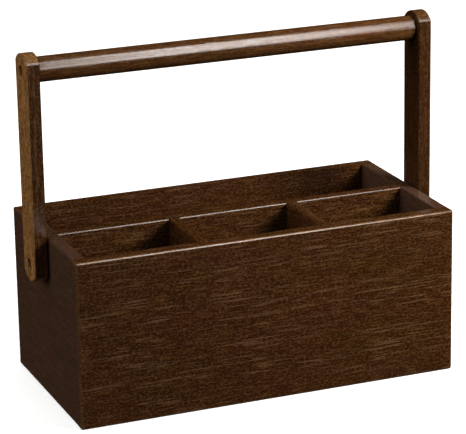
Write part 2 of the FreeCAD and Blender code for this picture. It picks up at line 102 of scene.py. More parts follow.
class OrganizerJoinery(bpy.types.PropertyGroup):
    """Edge work of the boards and the turned pieces."""

    outer_round: FloatProperty(
        name="Outer Round", description="Radius of the outer edges of the walls",
        default=0.0012, **LENGTH)
    rim_round: FloatProperty(
        name="Rim Round", description="Radius of the inner edge of the rim",
        default=0.0007, **LENGTH)
    divider_round: FloatProperty(
        name="Divider Round", description="Radius of the top edges of the dividers",
        default=0.001, **LENGTH)
    joint_round: FloatProperty(
        name="Joint Round", description="Eased edge where two boards meet",
        default=0.00018, **LENGTH)
    arm_round: FloatProperty(
        name="Arm Round", description="Radius of the arms' edges", default=0.0007, **LENGTH)
    arm_end_radius: FloatProperty(
        name="Arm End Radius", description="Radius of the arched ends of the arms",
        default=0.013, **LENGTH)
    arm_corner: FloatProperty(
        name="Arm Corner", description="Width eased where an arched end meets a side",
        default=0.0005, **LENGTH)
    recess_round: FloatProperty(
        name="Recess Round", description="Eased mouth of the screw recesses",
        default=0.0003, **LENGTH)
    recess_radius: FloatProperty(
        name="Recess Radius", description="Radius of the screw recesses in the arms",
        default=0.0032, **LENGTH)
    recess_depth: FloatProperty(
        name="Recess Depth", description="Depth of the screw recesses in the arms",
        default=0.0036, **LENGTH)
    grip_round: FloatProperty(
        name="Grip Round", description="Radius at the ends of the grip rod",
        default=0.0012, **LENGTH)
    hex_key: FloatProperty(
        name="Hex Key", description="Screw socket across its flats", default=0.0025, **LENGTH)
    hex_depth: FloatProperty(
        name="Hex Depth", description="Depth of the screw socket", default=0.0016, **LENGTH)
    screw_head_height: FloatProperty(
        name="Screw Head Height", description="Height of a screw's head",
        default=0.0024, **LENGTH)
    screw_shank: FloatProperty(
        name="Screw Shank", description="Radius of a screw's shank", default=0.00175, **LENGTH)
    washer_hole: FloatProperty(
        name="Washer Hole", description="Radius of the hole in a pivot washer",
        default=0.00185, **LENGTH)
    edge_segments: IntProperty(
        name="Edge Segments", description="Facets round each rounded edge",
        default=4, min=1, max=8)
    turned_segments: IntProperty(
        name="Turned Segments", description="Facets round a turned piece",
        default=96, min=24, max=192)


class OrganizerFinish(bpy.types.PropertyGroup):
    """Colours of the stain, the pores, the bare wood and the metal."""

    stain_dark: FloatVectorProperty(
        name="Dark Stain", description="Darkest wood between the fibres",
        default=(0.0175, 0.0050, 0.0010), **COLOUR)
    stain_olive: FloatVectorProperty(
        name="Olive Stain", description="Yellower parts of the boards",
        default=(0.0500, 0.0183, 0.0030), **COLOUR)
    stain_red: FloatVectorProperty(
        name="Red Stain", description="Redder parts of the boards",
        default=(0.0590, 0.0166, 0.0045), **COLOUR)
    stain_light: FloatVectorProperty(
        name="Light Stain", description="Lighter fibres of the boards",
        default=(0.105, 0.044, 0.0130), **COLOUR)
    pore: FloatVectorProperty(
        name="Pore Fleck", description="Pale fleck along a pore",
        default=(0.22, 0.125, 0.060), **COLOUR)
    arm_olive: FloatVectorProperty(
        name="Arm Face Olive", description="Yellower parts of the arms' outer faces",
        default=(0.265, 0.110, 0.0165), **COLOUR)
    arm_red: FloatVectorProperty(
        name="Arm Face Red", description="Redder parts of the arms' outer faces",
        default=(0.290, 0.106, 0.0200), **COLOUR)
    arm_light: FloatVectorProperty(
        name="Arm Face Fibre", description="Lighter fibres of the arms' outer faces",
        default=(0.40, 0.21, 0.075), **COLOUR)
    # Lightened wood: rubbed wear, which on the board edges, the arm edges and the rod also
    # stands in for painted highlight and painted light.
    wear_and_painted_light: FloatVectorProperty(
        name="Worn Wood", description="Rubbed wood on the edges, the arched ends and the rod",
        default=(0.270, 0.130, 0.0400), **COLOUR)
    # Painted sheen: a greyish reflection veil painted into the colour of the box's left and
    # right sides.
    painted_sheen: FloatVectorProperty(
        name="Haze", description="Greyish film over the left and right sides of the box",
        default=(0.075, 0.085, 0.085), **COLOUR)
    bare: FloatVectorProperty(
        name="Bare Wood", description="Unstained wood of the corner pins",
        default=(0.52, 0.34, 0.18), **COLOUR)
    brown_steel: FloatVectorProperty(
        name="Browned Steel", description="Finish of the handle's screws",
        default=(0.130, 0.066, 0.030), **COLOUR)
    washer_brass: FloatVectorProperty(
        name="Washer Brass", description="Brass of the pivot washers",
        default=(0.5, 0.34, 0.13), **COLOUR)
    brad_steel: FloatVectorProperty(
        name="Brad Steel", description="Bright steel of the brads",
        default=(0.52, 0.52, 0.53), **COLOUR)


class OrganizerStage(bpy.types.PropertyGroup):
    """Camera, lights and floor."""

    azimuth: FloatProperty(
        name="Camera Azimuth", description="Camera turned round the object, left of the front",
        default=math.radians(-21.75), unit="ROTATION", subtype="ANGLE")
    elevation: FloatProperty(
        name="Camera Elevation", description="Camera above the horizon",
        default=math.radians(17.63), unit="ROTATION", subtype="ANGLE")
    roll: FloatProperty(
        name="Camera Roll", description="Camera turned about its own view",
        default=math.radians(-1.01), unit="ROTATION", subtype="ANGLE")
    distance: FloatProperty(
        name="Camera Distance", description="Camera from the point that it looks at",
        default=1.4493, unit="LENGTH", subtype="DISTANCE")
    target: FloatVectorProperty(
        name="Camera Target", description="Point that the camera looks at",
        default=(0.0107, 0.0246, 0.0842), subtype="XYZ", size=3, unit="LENGTH", precision=4)
    lens: FloatProperty(
        name="Lens", description="Focal length in millimetres on a 36 mm sensor",
        default=188.3, min=10, max=400)
    floor: FloatVectorProperty(
        name="Floor", description="Colour of the floor", default=(0.86, 0.86, 0.85), **COLOUR)
    world_strength: FloatProperty(
        name="Sky Strength", description="Even light from all round",
        default=0.10, min=0, max=5)


# ---------------------------------------------------------------------- materials

class GrainShader:
    """Builds one solid material whose fibres or marks run along a chosen axis."""

    def __init__(self, name, grain):
        self.material = bpy.data.materials.new(name)
        self.material.use_nodes = True
        self.nodes = self.material.node_tree.nodes
        self.links = self.material.node_tree.links
        self.nodes.clear()
        self.grain = AXES.index(grain)
        self.coordinates = self.nodes.new("ShaderNodeTexCoord").outputs["Object"]
        self.surface = self.nodes.new("ShaderNodeBsdfPrincipled")
        output = self.nodes.new("ShaderNodeOutputMaterial")
        self.links.new(self.surface.outputs["BSDF"], output.inputs["Surface"])

    def stretched(self, stretch, offset):
        """Object coordinates drawn out along the grain, so that noise becomes fibres."""
        mapping = self.nodes.new("ShaderNodeMapping")
        scale = [1.0, 1.0, 1.0]
        scale[self.grain] = 1.0 / stretch
        mapping.inputs["Scale"].default_value = scale
        mapping.inputs["Location"].default_value = (offset, offset * 0.7, offset * 1.3)
        self.links.new(self.coordinates, mapping.inputs["Vector"])
        return mapping.outputs["Vector"]

    def noise(self, scale, stretch, detail=3.0, roughness=0.55, distortion=0.0, offset=0.0):
        """Noise with the given number of features per metre across the grain."""
        texture = self.nodes.new("ShaderNodeTexNoise")
        texture.inputs["Scale"].default_value = scale
        texture.inputs["Detail"].default_value = detail
        texture.inputs["Roughness"].default_value = roughness
        texture.inputs["Distortion"].default_value = distortion
        self.links.new(self.stretched(stretch, offset), texture.inputs["Vector"])
        return texture.outputs["Fac"]

    def level(self, value, low, high, to_low=0.0, to_high=1.0):
        """Spread a value between two levels, smoothly."""
        ramp = self.nodes.new("ShaderNodeMapRange")
        ramp.interpolation_type = "SMOOTHSTEP"
        ramp.inputs["From Min"].default_value = low
        ramp.inputs["From Max"].default_value = high
        ramp.inputs["To Min"].default_value = to_low
        ramp.inputs["To Max"].default_value = to_high
        self.links.new(value, ramp.inputs["Value"])
        return ramp.outputs["Result"]

    def product(self, first, second):
        """Two values multiplied."""
        node = self.nodes.new("ShaderNodeMath")
        node.operation = "MULTIPLY"
        self.links.new(first, node.inputs[0])
        self.links.new(second, node.inputs[1])
        return node.outputs["Value"]

    def blend(self, factor, under, over):
        """One colour laid over another by a factor."""
        node = self.nodes.new("ShaderNodeMix")
        node.data_type = "RGBA"
        self.links.new(factor, node.inputs["Factor"])
        for socket, colour in (("A", under), ("B", over)):
            target = next(item for item in node.inputs
                          if item.name == socket and item.type == "RGBA")
            if isinstance(colour, bpy.types.NodeSocket):
                self.links.new(colour, target)
            else:
                target.default_value = (*colour, 1.0)
        return next(item for item in node.outputs if item.type == "RGBA")

    def bump(self, height, distance, strength, below=None):
        """Relief in metres, on top of another relief."""
        node = self.nodes.new("ShaderNodeBump")
        node.inputs["Distance"].default_value = distance
        node.inputs["Strength"].default_value = strength
        self.links.new(height, node.inputs["Height"])
        if below is not None:
            self.links.new(below, node.inputs["Normal"])
        return node.outputs["Normal"]


# Layers of the grain. Each has its features per metre across the fibres, how far it is
# drawn out along them, its detail, roughness and distortion, and the levels between which
# it fades in.
GRAIN_LAYERS = (
    ((55, 2.5, 2.0, 0.55, 0.0), (0.38, 0.62)),      # hues
    ((170, 12, 3.0, 0.55, 0.4), (0.34, 0.66)),      # figure
    ((950, 1.7, 2.0, 0.6, 0.0), (0.30, 0.70)),      # speckle
    ((1500, 18, 2.0, 0.6, 0.0), (0.30, 0.72)),      # streaks
    ((1250, 30, 1.0, 0.4, 0.0), (0.60, 0.68)),      # pores
    ((90, 5, 2.0, 0.55, 0.0), (0.25, 0.62)),        # zones where the pores show
)


def stained_wood(name, grain, stain, seed, roughness=SATIN, contrast=1.0):
    """Dark stained, open-pored wood under a thin satin lacquer."""
    shader = GrainShader(name, grain)
    hues, figure, speckle, streaks, pores, zones = (
        shader.level(shader.noise(*layer, offset=seed + place), low, high)
        for place, (layer, (low, high)) in enumerate(GRAIN_LAYERS))
    colour = shader.blend(hues, stain["olive"], stain["red"])
    for layer, strength in ((figure, 0.24), (speckle, 0.62), (streaks, 0.66)):
        shade = shader.level(layer, 0.0, 1.0, strength * contrast, 0.0)
        colour = shader.blend(shade, colour, stain["dark"])
    for layer, low, strength in ((speckle, 0.55, 0.42), (streaks, 0.55, 0.48)):
        shine = shader.level(layer, low, 1.0, 0.0, strength * contrast)
        colour = shader.blend(shine, colour, stain["light"])
    fleck = shader.level(shader.product(pores, zones), 0.0, 1.0, 0.0, 0.27 * contrast)
    colour = shader.blend(fleck, colour, stain["pore"])
    surface = shader.surface
    shader.links.new(colour, surface.inputs["Base Color"])
    shader.links.new(shader.level(speckle, 0.0, 1.0, roughness - 0.04, roughness + 0.07),
                     surface.inputs["Roughness"])
    surface.inputs["Specular IOR Level"].default_value = 0.5
    surface.inputs["Specular Tint"].default_value = (1.0, 0.94, 0.90, 1.0)
    relief = shader.bump(streaks, 0.00003, 0.3 * contrast)
    relief = shader.bump(shader.level(pores, 0.0, 1.0, 1.0, 0.0), 0.00005, 0.4, relief)
    relief = shader.bump(shader.noise(24, 2.0, 1.0, offset=seed + 6), 0.0003, 0.2, relief)
    shader.links.new(relief, surface.inputs["Normal"])
    return shader.material


def bare_wood(name, grain, colour):
    """Plain unstained beech for pieces inside the joints."""
    shader = GrainShader(name, grain)
    fibres = shader.level(shader.noise(700, 18, 3.0), 0.35, 0.7)
    flecks = shader.level(shader.noise(300, 5, 2.0, offset=3), 0.6, 0.7)
    base = shader.blend(fibres, colour, tuple(0.72 * value for value in colour))
    base = shader.blend(shader.level(flecks, 0.0, 1.0, 0.0, 0.5), base,
                        tuple(0.45 * value for value in colour))
    shader.links.new(base, shader.surface.inputs["Base Color"])
    shader.links.new(shader.level(fibres, 0.0, 1.0, 0.55, 0.75),
                     shader.surface.inputs["Roughness"])
    shader.links.new(shader.bump(fibres, 0.00005, 0.4), shader.surface.inputs["Normal"])
    return shader.material


def turned_metal(name, colour, roughness, scratches, wear=0.35, metallic=1.0):
    """Metal with fine turning marks and slightly worn, uneven tone."""
    shader = GrainShader(name, "X")
    marks = shader.level(shader.noise(2600, 0.12, 3.0, 0.6), 0.35, 0.65)
    stains = shader.level(shader.noise(260, 1.0, 4.0, 0.6, offset=2), 0.4, 0.7)
    dull = tuple(wear * value for value in colour)
    base = shader.blend(shader.level(stains, 0.0, 1.0, 0.0, 0.6), colour, dull)
    base = shader.blend(shader.level(marks, 0.0, 1.0, 0.0, 0.2), base, dull)
    surface = shader.surface
    shader.links.new(base, surface.inputs["Base Color"])
    surface.inputs["Metallic"].default_value = metallic
    shader.links.new(shader.level(marks, 0.0, 1.0, roughness, roughness + scratches),
                     surface.inputs["Roughness"])
    shader.links.new(shader.bump(marks, 0.00001, 0.3), surface.inputs["Normal"])
    return shader.material


def mixed(first, second, share):
    """One colour with a share of another."""
    return tuple((1 - share) * one + share * other for one, other in zip(first, second))


def stain_colours(painted_sheen=0.0, depth=0.0):
    """The colours of the boards' stain, deepened, under a share of greyish painted sheen that
    stands in for a reflection.
    """
    finish = bpy.context.scene.organizer_finish
    names = {"dark": "stain_dark", "olive": "stain_olive", "red": "stain_red",
             "light": "stain_light", "pore": "pore"}
    return {key: mixed(mixed(getattr(finish, name), finish.stain_dark, depth),
                       finish.painted_sheen, painted_sheen)
            for key, name in names.items()}


def pale_colours():
    """The colours of the paler stain on the arms' outer faces."""
    finish = bpy.context.scene.organizer_finish
    return {"dark": tuple(finish.stain_light), "olive": tuple(finish.arm_olive),
            "red": tuple(finish.arm_red), "light": tuple(finish.arm_light),
            "pore": tuple(finish.arm_light)}


def wear_and_painted_light_colours(wear):
    """The colours of lightened wood, between the boards' stain and bare edges: rubbed wear, and
    painted highlight and painted light where it is laid on edges and the rod.
    """
    finish = bpy.context.scene.organizer_finish
    return {"dark": mixed(finish.stain_dark, finish.wear_and_painted_light, 0.4 * wear),
            "olive": mixed(finish.stain_olive, finish.wear_and_painted_light, wear),
            "red": mixed(finish.stain_red, finish.wear_and_painted_light, 0.8 * wear),
            "light": mixed(finish.stain_light, finish.arm_light, wear),
            "pore": tuple(finish.pore)}


# painted_sheen lays a greyish painted reflection over the stain.
def board_wood(node, grain, seed, contrast=1.0, painted_sheen=0.0):
    """The box's own stained wood, with a pattern of its own for each board."""
    return stained_wood(node + "_stained_wood", grain, stain_colours(painted_sheen), seed,
                        contrast=contrast)


# ------------------------------------------------------------------ shared modelling

def placed_object(name, builder):
    """Turn a bmesh into an object of the scene."""
    mesh = bpy.data.meshes.new(name)
    builder.to_mesh(mesh)
    builder.free()
    thing = bpy.data.objects.new(name, mesh)
    bpy.context.scene.collection.objects.link(thing)
    return thing


def new_piece(name, mesh_builder, body, slot, materials, *nodes):
    """Make an object from a bmesh, give it its finish and let it ride on its body."""
    builder = bmesh.new()
    mesh_builder(builder)
    bmesh.ops.remove_doubles(builder, verts=builder.verts, dist=MERGE_WITHIN)
    bmesh.ops.recalc_face_normals(builder, faces=builder.faces)
    piece = placed_object(name, builder)
    for material in materials:
        piece.data.materials.append(material)
    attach(piece, body)
    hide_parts(*nodes)
    return piece


def apply_modifiers(piece):
    """Turn the piece's modifiers into plain geometry."""
    depsgraph = bpy.context.evaluated_depsgraph_get()
    finished = bpy.data.meshes.new_from_object(piece.evaluated_get(depsgraph))
    rough = piece.data
    piece.modifiers.clear()
    piece.data = finished
    bpy.data.meshes.remove(rough)


def soften(piece, angle=math.radians(40)):
    """Smooth shading over the rounded edges, flat on the flat faces."""
    for polygon in piece.data.polygons:
        polygon.use_smooth = True
    piece.data.set_sharp_from_angle(angle=angle)
    weighted = piece.modifiers.new("flat_faces", "WEIGHTED_NORMAL")
    weighted.keep_sharp = True
    weighted.weight = 100
    apply_modifiers(piece)


def round_edges(piece, radius_of):
    """Round each edge of a sharp-edged piece by the radius that a test gives it.

    A second material goes on the rounded edges and a third on the ends along X.
    """
    mesh = piece.data
    weights = mesh.attributes.new("bevel_weight_edge", "FLOAT", "EDGE")
    radii = []
    for edge in mesh.edges:
        start, end = (mesh.vertices[index].co for index in edge.vertices)
        radii.append(radius_of(start, end))
    largest = max(radii)
    for index, radius in enumerate(radii):
        weights.data[index].value = radius / largest
    rounding = piece.modifiers.new("rounding", "BEVEL")
    rounding.limit_method = "WEIGHT"
    rounding.width = largest
    rounding.segments = bpy.context.scene.organizer_joinery.edge_segments
    rounding.use_clamp_overlap = False
    apply_modifiers(piece)
    if len(piece.data.materials) > 1:
        for face in piece.data.polygons:
            if max(abs(value) for value in face.normal) < AXIS_ALIGNED:
                face.material_index = BOARD_EDGE
            elif abs(face.normal.x) > AXIS_ALIGNED:
                face.material_index = BOARD_END
    soften(piece)


def plan_face(builder, corners, height):
    """A flat face at a height, which shares its corners with its neighbours."""
    verts = []
    for x, y in corners:
        spot = Vector((x, y, height))
        found = next((vert for vert in builder.verts
                      if (vert.co - spot).length < SAME_PLACE), None)
        verts.append(found or builder.verts.new(spot))
    return builder.faces.new(verts)


def raise_faces(builder, faces, height):
    """Extrude flat faces straight up or down."""
    result = bmesh.ops.extrude_face_region(builder, geom=faces)
    moved = [item for item in result["geom"] if isinstance(item, bmesh.types.BMVert)]
    bmesh.ops.translate(builder, verts=moved, vec=(0, 0, height))


def close_to(value, target):
    """Whether two places agree to a hundredth of a millimetre."""
    return abs(value - target) < SAME_PLACE


def both_at(axis, target):
    """A test for edges whose two ends lie at one place on an axis."""
    return lambda start, end: close_to(start[axis], target) and close_to(end[axis], target)


def on_either(axis, low, high):
    """A test for edges that lie on either of a box's two faces across an axis."""
    return lambda start, end: (both_at(axis, low[axis])(start, end)
                               or both_at(axis, high[axis])(start, end))


def outer_first(low, high, side):
    """Two places put in order, the one on the outside of the box first."""
    return (low, high) if side < 0 else (high, low)


def notch(low, high, mouth, floor):
    """The four corners of a groove in a board's face, from low to high."""
    return [(low, mouth), (low, floor), (high, floor), (high, mouth)]


def bevel_edges(builder, edges, width, segments):
    """Round some edges of a bmesh."""
    bmesh.ops.bevel(builder, geom=edges, offset=width, offset_type="OFFSET",
                    segments=segments, profile=0.5, affect="EDGES", material=-1)


def turn_profile(builder, profile, closed=False):
    """Turn an outline, given as places along X and radii, about the X axis."""
    verts = [builder.verts.new((x, radius, 0.0)) for x, radius in profile]
    following = verts[1:] + verts[:1] if closed else verts[1:]
    edges = [builder.edges.new(pair) for pair in zip(verts, following)]
    steps = bpy.context.scene.organizer_joinery.turned_segments // 2
    bmesh.ops.spin(builder, geom=verts + edges, axis=(1, 0, 0), cent=(0, 0, 0),
                   angle=2 * math.pi, steps=steps, use_merge=True)


# ---------------------------------------------------------------------------- the box

def long_panel_mesh(builder, node, facing, dividers):
    """Front or back panel with its rebate, and a groove for each divider."""
    low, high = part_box(node)
    bottom_low, bottom_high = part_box("bottom_panel")
    outer, inner = outer_first(low.y, high.y, facing)
    ledge = outer_first(bottom_low.y, bottom_high.y, facing)[0]
    grooves = []
    for divider in dividers:
        divider_low, divider_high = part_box(divider)
        grooves += notch(divider_low.x, divider_high.x, inner, divider_low.y)
    strip = [(low.x, outer), (high.x, outer), (high.x, inner), (bottom_high.x, inner),
             (bottom_high.x, ledge), (bottom_low.x, ledge), (bottom_low.x, inner),
             (low.x, inner)]
    shelf = [(bottom_low.x, ledge), (bottom_high.x, ledge), (bottom_high.x, inner)]
    shelf += list(reversed(grooves)) + [(bottom_low.x, inner)]
    wall_mesh(builder, strip, shelf, low.z, bottom_high.z, high.z)


def wall_mesh(builder, strip, shelf, foot, ledge, rim):
    """A wall: the strip runs from the foot to the rim, the shelf from the ledge to the rim."""
    strip_face = plan_face(builder, strip, ledge)
    shelf_face = plan_face(builder, shelf, ledge)
    raise_faces(builder, [strip_face, shelf_face], rim - ledge)
    raise_faces(builder, [strip_face], foot - ledge)
    bmesh.ops.delete(builder, geom=[strip_face], context="FACES_ONLY")
    bmesh.ops.recalc_face_normals(builder, faces=builder.faces)
    flat = [edge for edge in builder.edges if edge.calc_face_angle(1) < math.radians(1)]
    bmesh.ops.dissolve_edges(builder, edges=flat, use_verts=True)


def end_panel_mesh(builder, node, side):
    """End panel between the long ones, with its rebate and the long divider's groove."""
    low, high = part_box(node)
    bottom_low, bottom_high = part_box("bottom_panel")
    divider_low, divider_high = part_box("long_divider")
    outer, inner = outer_first(low.x, high.x, side)
    ledge = outer_first(bottom_low.x, bottom_high.x, side)[0]
    floor = outer_first(divider_low.x, divider_high.x, side)[0]
    strip = [(outer, low.y), (ledge, low.y), (ledge, high.y), (outer, high.y)]
    shelf = [(ledge, low.y), (inner, low.y), (inner, divider_low.y), (floor, divider_low.y),
             (floor, divider_high.y), (inner, divider_high.y), (inner, high.y),
             (ledge, high.y)]
    wall_mesh(builder, strip, shelf, low.z, bottom_high.z, high.z)


def make_long_panel(node, facing, dividers):
    """Build a long panel, with edges lightened as rubbed wear and painted highlight, and end
    grain under a greyish painted sheen.
    """
    joinery = bpy.context.scene.organizer_joinery
    low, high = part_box(node)
    outer, inner = outer_first(low.y, high.y, facing)
    rim_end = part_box("right_end_panel")[0].x + RIM_SLACK

    def radius_of(start, end):
        on_top = both_at(2, high.z)(start, end)
        on_end = on_either(0, low, high)(start, end)
        level = on_top or both_at(2, low.z)(start, end)
        on_face = both_at(1, outer)(start, end)
        if (on_face and (level or on_end)) or (level and on_end):
            return joinery.outer_round
        if on_top and both_at(1, inner)(start, end):
            inside = max(abs(start.x), abs(end.x)) < rim_end
            return joinery.rim_round if inside else 0.0
        if on_end and both_at(1, inner)(start, end):
            return joinery.joint_round
        return 0.0

    seed = GRAIN_START[node]
    # The rounded edges are lightened as rubbed wear and as a painted highlight; the ends along X
    # carry a greyish painted sheen, a painted reflection.
    rubbed_and_highlit = stained_wood(node + "_edge_wood", "X", wear_and_painted_light_colours(BOARD_WEAR_AND_HIGHLIGHT), seed + 0.5, RUBBED)
    ends = stained_wood(node + "_end_grain", "X", stain_colours(SIDE_PAINTED_SHEEN), seed + 0.7,
                        contrast=SIDE_CONTRAST)
    piece = new_piece(node + "_board",
                      lambda builder: long_panel_mesh(builder, node, facing, dividers),
                      "box", "box_wood", [board_wood(node, "X", seed), rubbed_and_highlit, ends], node)
    round_edges(piece, radius_of)


class OrganizerFrontPanel(bpy.types.Operator):
    """Make the front panel with the grooves of the cross dividers"""

    bl_idname = "organizer.front_panel"
    bl_label = "Front Panel"

    def execute(self, context):
        dividers = ("left_cross_divider", "right_cross_divider")
        make_long_panel("front_panel", FRONT, dividers)
        return {"FINISHED"}


class OrganizerBackPanel(bpy.types.Operator):
    """Make the back panel"""

    bl_idname = "organizer.back_panel"
    bl_label = "Back Panel"

    def execute(self, context):
        make_long_panel("back_panel", BACK, ())
        return {"FINISHED"}


class OrganizerEndPanels(bpy.types.Operator):
    """Make the two end panels between the long ones"""

    bl_idname = "organizer.end_panels"
    bl_label = "End Panels"

    def execute(self, context):
        joinery = context.scene.organizer_joinery
        for name, side in SIDES:
            node = name + "_end_panel"
            low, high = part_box(node)
            outer, inner = outer_first(low.x, high.x, side)

            def radius_of(start, end):
                on_top = both_at(2, high.z)(start, end)
                if both_at(0, outer)(start, end):
                    level = on_top or both_at(2, low.z)(start, end)
                    return joinery.outer_round if level else joinery.joint_round
                if on_top and both_at(0, inner)(start, end):
                    return joinery.rim_round
                return 0.0

            # The end panels' wood carries a share of greyish painted sheen, a painted
            # reflection.
            wood = board_wood(node, "Y", GRAIN_START["end_panel"] + side,
                              SIDE_CONTRAST, SIDE_PAINTED_SHEEN)
            piece = new_piece(node + "_board",
                              lambda builder: end_panel_mesh(builder, node, side),
                              "box", "box_wood", [wood], node)
            round_edges(piece, radius_of)
        return {"FINISHED"}


def slab_mesh(builder, low, high):
    """A plain board between two corners."""
    result = bmesh.ops.create_cube(builder, size=1.0)
    size, middle = high - low, (high + low) / 2
    bmesh.ops.scale(builder, verts=result["verts"], vec=size)
    bmesh.ops.translate(builder, verts=result["verts"], vec=middle)


class OrganizerBottomPanel(bpy.types.Operator):
    """Make the bottom panel"""

    bl_idname = "organizer.bottom_panel"
    bl_label = "Bottom Panel"

    def execute(self, context):
        joinery = context.scene.organizer_joinery
        low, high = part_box("bottom_panel")
        wood = board_wood("bottom_panel", "X", GRAIN_START["bottom_panel"])
        piece = new_piece("bottom_panel_board", lambda builder: slab_mesh(builder, low, high),
                          "box", "box_wood", [wood], "bottom_panel")
        round_edges(piece, lambda start, end: joinery.joint_round)
        return {"FINISHED"}


def divider_rounding(low, high, axis):
    """A test that rounds a divider's top edges, on its two faces across an axis."""
    radius = bpy.context.scene.organizer_joinery.divider_round

    def radius_of(start, end):
        on_top = both_at(2, high.z)(start, end)
        return radius if on_top and on_either(axis, low, high)(start, end) else 0.0

    return radius_of


def long_divider_mesh(builder):
    """The long divider, raised from its outline with a groove for each cross divider."""
    low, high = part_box("long_divider")
    outline = [(high.x, low.y), (high.x, high.y), (low.x, high.y), (low.x, low.y)]
    for divider in ("left_cross_divider", "right_cross_divider"):
        cross_low, cross_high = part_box(divider)
        outline += notch(cross_low.x, cross_high.x, low.y, cross_high.y)
    raise_faces(builder, [plan_face(builder, outline, low.z)], high.z - low.z)


class OrganizerLongDivider(bpy.types.Operator):
    """Make the divider between the bins and the rear slot"""

    bl_idname = "organizer.long_divider"
    bl_label = "Long Divider"

    def execute(self, context):
        low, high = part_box("long_divider")
        wood = board_wood("long_divider", "X", GRAIN_START["long_divider"])
        piece = new_piece("long_divider_board", long_divider_mesh, "box", "divider_wood",
                          [wood], "long_divider")
        round_edges(piece, divider_rounding(low, high, 1))
        return {"FINISHED"}


class OrganizerCrossDividers(bpy.types.Operator):
    """Make the two dividers between the bins"""

    bl_idname = "organizer.cross_dividers"
    bl_label = "Cross Dividers"

    def execute(self, context):
        for name, side in SIDES:
            node = name + "_cross_divider"
            low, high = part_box(node)
            wood = board_wood(node, "Y", GRAIN_START["cross_divider"] + side)
            piece = new_piece(node + "_board", lambda builder: slab_mesh(builder, low, high),
                              "box", "divider_wood", [wood], node)
            round_edges(piece, divider_rounding(low, high, 0))
        return {"FINISHED"}


def paint(piece, material):
    """Give a piece of the frame one material all over."""
    piece.data.materials.clear()
    piece.data.materials.append(material)


class OrganizerHiddenPins(bpy.types.Operator):
    """Finish the wooden pins in the corners and the brads under the bottom"""

    bl_idname = "organizer.hidden_pins"
    bl_label = "Corner Pins and Brads"

    def execute(self, context):
        finish = context.scene.organizer_finish
        beech = bare_wood("pin_beech", "Y", tuple(finish.bare))
        steel = turned_metal("brad_steel", tuple(finish.brad_steel), roughness=0.28,
                             scratches=0.15)
        for node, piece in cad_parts.items():
            if node.endswith("_corner_pins"):
                paint(piece, beech)
        paint(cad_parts["bottom_brads"], steel)
        return {"FINISHED"}


# ------------------------------------------------------------------------- the handle

def arch(builder, low, half, tip, facing):
    """A chain of edges from one side of the bar over its arched end to the other side."""
    joinery = bpy.context.scene.organizer_joinery
    radius = joinery.arm_end_radius
    swing = math.asin(half / radius)
    centre = Vector((low.x, low.y + half, tip - facing * radius))
    start = builder.verts.new(centre + Vector((0, -facing * half,
                                               facing * radius * math.cos(swing))))
    result = bmesh.ops.spin(builder, geom=[start], axis=(1, 0, 0), cent=centre,
                            angle=-2 * swing, steps=joinery.turned_segments // 4)
    end = next(item for item in result["geom_last"] if isinstance(item, bmesh.types.BMVert))
    return start, end


def bar_mesh(builder, low, high, side):
    """A flat bar standing on end, with arched ends and rounded edges."""
    joinery = bpy.context.scene.organizer_joinery
    half = (high.y - low.y) / 2
    upper = arch(builder, low, half, high.z, 1)
    lower = arch(builder, low, half, low.z, -1)
    builder.edges.new((upper[1], lower[0]))
    builder.edges.new((lower[1], upper[0]))
    bmesh.ops.contextual_create(builder, geom=builder.edges[:])
    moved = bmesh.ops.extrude_face_region(builder, geom=builder.faces[:])["geom"]
    verts = [item for item in moved if isinstance(item, bmesh.types.BMVert)]
    bmesh.ops.translate(builder, verts=verts, vec=(high.x - low.x, 0, 0))
    bmesh.ops.recalc_face_normals(builder, faces=builder.faces)
    corners = [edge for edge in builder.edges
               if edge.calc_face_angle() > math.radians(20)
               and not close_to(edge.verts[0].co.x, edge.verts[1].co.x)]
    bevel_edges(builder, corners, joinery.arm_corner, 2)
    rims = [edge for edge in builder.edges
            if close_to(edge.verts[0].co.x, edge.verts[1].co.x)]
    bevel_edges(builder, rims, joinery.arm_round, joinery.edge_segments)
    for face in builder.faces:
        outward = side * face.normal.x
        if outward > FACE_FROM:
            face.material_index = ARM_FACE
        elif abs(face.normal.z) > END_FROM:
            face.material_index = ARM_END
        elif outward > EDGE_FROM:
            face.material_index = ARM_EDGE


def recess_cutter(centre, side):
    """A stepped cutter for one screw recess, with an eased mouth."""
    joinery = bpy.context.scene.organizer_joinery
    radius, depth, ease = joinery.recess_radius, joinery.recess_depth, joinery.recess_round
    above, through = 0.002, 0.02
    profile = [(above, 0.0), (above, radius + ease + above), (0.0, radius + ease),
               (-ease * 0.3, radius + ease * 0.3), (-ease, radius), (-depth, radius),
               (-depth, joinery.screw_shank), (-through, joinery.screw_shank),
               (-through, 0.0)]
    builder = bmesh.new()
    turn_profile(builder, [(side * x, y) for x, y in profile])
    bmesh.ops.remove_doubles(builder, verts=builder.verts, dist=MERGE_WITHIN)
    bmesh.ops.recalc_face_normals(builder, faces=builder.faces)
    bmesh.ops.translate(builder, verts=builder.verts, vec=centre)
    for face in builder.faces:
        face.material_index = ARM_FACE
    return placed_object("recess_cutter", builder)


def cut_recess(piece, centre, side):
    """Cut one screw recess into an arm."""
    cutter = recess_cutter(centre, side)
    cut = piece.modifiers.new("recess", "BOOLEAN")
    cut.operation = "DIFFERENCE"
    cut.solver = "EXACT"
    cut.material_mode = "INDEX"
    cut.object = cutter
    bpy.context.view_layer.update()
    apply_modifiers(piece)
    mesh = cutter.data
    bpy.data.objects.remove(cutter)
    bpy.data.meshes.remove(mesh)


